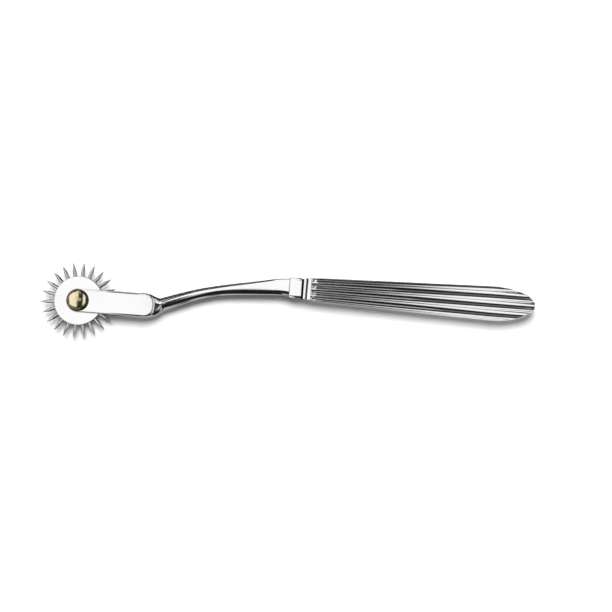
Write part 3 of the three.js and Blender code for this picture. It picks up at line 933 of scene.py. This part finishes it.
FLOOR_COLOUR = (0.82, 0.82, 0.82, 1)
FLOOR_GLOW = 0.05
FLOOR_REACH = (-450, 620, -500, 560)
FLOOR_LEVEL = -0.02


def add_floor():
    """A plain white floor that the object lies on."""
    left, right, near, far = FLOOR_REACH
    corners = [(left, near), (right, near), (right, far), (left, far)]
    floor = mesh_object("floor", [(x, y, FLOOR_LEVEL) for x, y in corners], [(0, 1, 2, 3)])
    material, _, _, shader = new_material("floor_white")
    shader.inputs["Base Color"].default_value = FLOOR_COLOUR
    shader.inputs["Roughness"].default_value = 1
    shader.inputs["Specular IOR Level"].default_value = 0
    shader.inputs["Emission Color"].default_value = (1, 1, 1, 1)
    shader.inputs["Emission Strength"].default_value = FLOOR_GLOW
    floor.data.materials.append(material)


# Cards that only polished metal sees: just over the floor, and two dark ones over the wheel. Each has
# a name, a height, a reach to the right and one towards the top in millimetres from the axle, and
# (place, level) stops to the right.
CARD_HEIGHT = 0.1
OVERHEAD = 60
WHOLE = (-60, 240)
GLOSS_CARDS = [
    ("card_behind", CARD_HEIGHT, WHOLE, (1, 130), [(-60, 0.04), (240, 0.04)]),
    ("card_before", CARD_HEIGHT, WHOLE, (-10, 1), [
        (-60, 0.05), (8, 0.05), (20, 0.28), (32, 0.28), (38, 0.12), (82, 0.12),
        (88, 0.3), (110, 0.34), (140, 0.75), (240, 0.8),
    ]),
    ("card_beyond", CARD_HEIGHT, WHOLE, (-130, -10), [(-60, 0.4), (240, 0.4)]),
    ("card_over_behind", OVERHEAD, (2, 16), (13, 130), [(2, 0.02), (16, 0.02)]),
    ("card_over_before", OVERHEAD, (2, 16), (-90, -3), [(2, 0.02), (16, 0.02)]),
]


def add_gloss_card(name, height, reach, depth, levels):
    low, high = reach
    corners = [(low, depth[0]), (high, depth[0]), (high, depth[1]), (low, depth[1])]
    over = Vector((0, 0, height))
    points = [right * PICTURE_RIGHT + up * PICTURE_TOP + over for right, up in corners]
    card = mesh_object(name, points, [(0, 1, 2, 3)])
    material, nodes, links, shader = new_material(name)
    shader.inputs["Base Color"].default_value = (0, 0, 0, 1)
    shader.inputs["Specular IOR Level"].default_value = 0
    shader.inputs["Emission Strength"].default_value = 1
    place = nodes.new("ShaderNodeTexCoord").outputs["Object"]
    share = share_of(nodes, links, along(nodes, links, place, PICTURE_RIGHT), low * MM, high * MM)
    links.new(level_ramp(nodes, links, share, low, high, levels), shader.inputs["Emission Color"])
    card.data.materials.append(material)
    card.visible_camera = card.visible_diffuse = card.visible_transmission = False
    card.visible_volume_scatter = card.visible_shadow = False


# The lamp's place is to the right, towards the top and up from the point that the camera looks at.
LAMP_PLACE = (-0.02, 0.45, 0.72)
LAMP_DIAMETER = 0.7
LAMP_POWER = 13.3


def add_key_light():
    """One large soft lamp, from the top left of the picture."""
    data = bpy.data.lights.new("key", "AREA")
    data.shape = "DISK"
    data.size = LAMP_DIAMETER
    data.energy = LAMP_POWER
    lamp = bpy.data.objects.new("key", data)
    right, top, up = LAMP_PLACE
    lamp.location = LOOK_AT + top * PICTURE_TOP + right * PICTURE_RIGHT + Vector((0, 0, up))
    lamp.rotation_euler = (LOOK_AT - lamp.location).to_track_quat("-Z", "Y").to_euler()
    lamp.visible_glossy = False
    bpy.context.scene.collection.objects.link(lamp)


# Assembly

def dress_object():
    chrome = plated("polished_chrome", *CHROME)
    ferrule_chrome = plated("ferrule_chrome", *CHROME)
    blacken_joint(ferrule_chrome)
    disc_chrome = plated("disc_chrome", *DISC_CHROME)
    pin_steel = plated("pin_steel", *PIN_STEEL)
    brass = turned_brass()
    finish_piece(make_fork_and_shank(), "frame", chrome, "chrome", "fork_and_shank")
    finish_piece(make_ferrule(), "frame", ferrule_chrome, "chrome", "ferrule")
    front, rear = make_handle_shells()
    finish_piece(front, "frame", chrome, "chrome", "handle_front_shell")
    finish_piece(rear, "frame", chrome, "chrome", "handle_rear_shell")
    finish_piece(make_axle_rivet(), "frame", brass, "brass", "axle_rivet")
    low = ARM_THICKNESS + RUNNING_CLEARANCE
    high = FORK_THICKNESS - ARM_THICKNESS - RUNNING_CLEARANCE - WASHER_THICKNESS
    finish_piece(make_washer("rear_washer_brass", low), "frame", brass, "brass", "rear_washer")
    finish_piece(make_washer("front_washer_brass", high), "frame", brass, "brass", "front_washer")
    finish_piece(make_wheel_disc(), "wheel", disc_chrome, "chrome", "wheel_disc")
    for number, angle in enumerate(pin_angles(), 1):
        finish_piece(make_pin(number, angle), "wheel", pin_steel, "pin_steel", f"pin_{number:02d}")


bpy.context.scene.view_settings.view_transform = "Standard"
add_camera()
add_world()
add_floor()
for gloss_card in GLOSS_CARDS:
    add_gloss_card(*gloss_card)
add_key_light()
dress_object()
